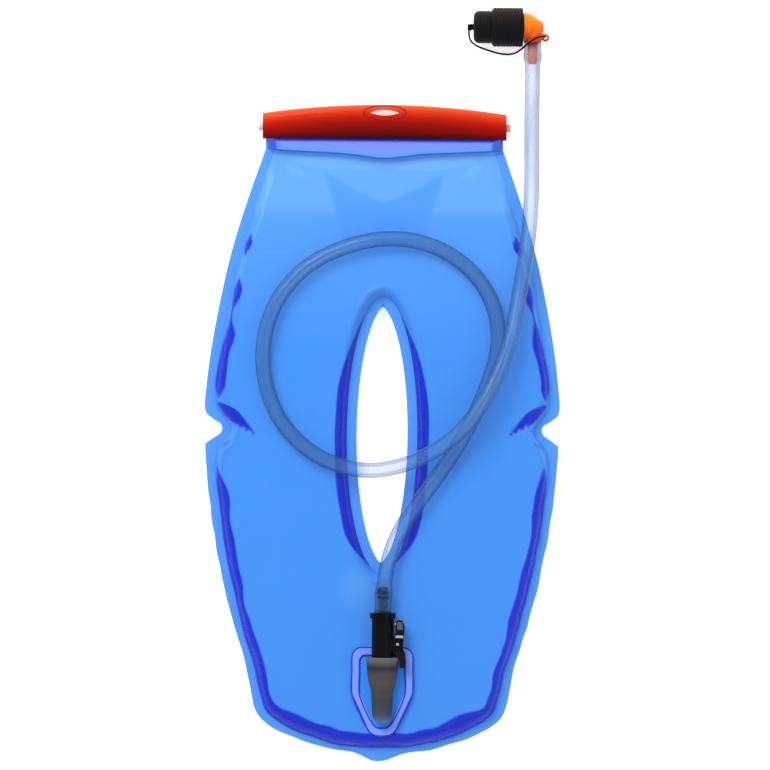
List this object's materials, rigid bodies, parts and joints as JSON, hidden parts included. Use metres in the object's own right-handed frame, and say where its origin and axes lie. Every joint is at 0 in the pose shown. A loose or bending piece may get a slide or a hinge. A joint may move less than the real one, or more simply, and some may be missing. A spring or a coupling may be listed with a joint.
{
  "type": "hydration bladder",
  "caption": "Flat water reservoir of blue welded film with a central slot, slide-on mouth closure, plug-in drinking hose and bite valve.",
  "frame": {"origin": "on the surface that the bladder lies on, under the middle of the reservoir with its closure (hose and bite valve left out)", "axes": "+X across the width, to the side where the hose runs off; +Y along the length, up to the mouth and its closure; +Z through the thickness, towards the outlet port's side"},
  "size_m": [0.22, 0.4681, 0.0487],
  "materials": {
    "reservoir_film": "glossy see-through azure film",
    "clear_rail": "milky clear rod",
    "slider_red": "smooth red-orange moulding",
    "frosted_port": "frosted clear moulding",
    "poppet_white": "plain moulding",
    "seal_rubber": "matt",
    "spring_steel": "bright",
    "coupler_black": "semi-gloss moulding",
    "latch_black": "ribbed satin moulding",
    "latch_grey": "satin moulding",
    "clear_hose": "clear glossy flexible hose",
    "elbow_orange": "glossy translucent moulding",
    "valve_black": "satin moulding",
    "silicone": "soft matt silicone",
    "cover_rubber": "matt ribbed rubber",
    "tether_cord": "thin elastic cord"
  },
  "bodies": {
    "reservoir": {"front_film": "reservoir_film", "back_film": "reservoir_film", "mouth_flap": "reservoir_film", "mouth_rail": "clear_rail", "outlet_port": "frosted_port", "poppet_spring": "spring_steel"},
    "slider": {"closure_slider": "slider_red"},
    "poppet": {"poppet": "poppet_white", "poppet_seal": "seal_rubber"},
    "hose": {"coupler_body": "coupler_black", "coupler_oring": "seal_rubber", "latch_pin": "spring_steel", "latch_spring": "spring_steel", "drinking_tube": "clear_hose"},
    "latch": {"latch_lever": "latch_black", "latch_pad": "latch_grey"},
    "elbow": {"valve_elbow": "elbow_orange", "valve_oring": "seal_rubber", "cover_tether": "tether_cord"},
    "valve": {"valve_body": "valve_black", "mouthpiece": "silicone"},
    "cover": {"valve_cover": "cover_rubber", "tether_knot": "tether_cord"}
  },
  "joints": [
    {"name": "slider_slide", "type": "slide", "parent": "reservoir", "child": "slider", "axis": [-1, 0, 0], "range_m": [0, 0.155]},
    {"name": "coupler_slide", "type": "slide", "parent": "reservoir", "child": "hose", "axis": [0, 1, 0], "range_m": [0, 0.022]},
    {"name": "poppet_slide", "type": "slide", "parent": "reservoir", "child": "poppet", "axis": [0, 1, 0], "range_m": [0, 0.0021], "deforming": ["poppet_spring"]},
    {"name": "latch_press", "type": "hinge", "parent": "hose", "child": "latch", "pos_m": [0.0107, -0.1301, 0.028], "axis": [0, 0, 1], "range_deg": [0, 6], "stiffness_Nm_per_rad": 0.05, "deforming": ["latch_spring"]},
    {"name": "elbow_swivel", "type": "hinge", "parent": "hose", "child": "elbow", "pos_m": [0.0913, 0.2522, 0.0126], "axis": [0, 1, 0], "continuous": true},
    {"name": "valve_twist", "type": "hinge", "parent": "elbow", "child": "valve", "pos_m": [0.0859, 0.2522, 0.0126], "axis": [-1, 0, 0], "range_deg": [0, 90]},
    {"name": "cover_pull", "type": "slide", "parent": "elbow", "child": "cover", "axis": [-1, 0, 0], "range_m": [0, 0.029], "deforming": ["cover_tether"]}
  ],
  "couplings": [
    {"joint": "poppet_slide", "follows": "coupler_slide", "ratio": 0.095}
  ]
}
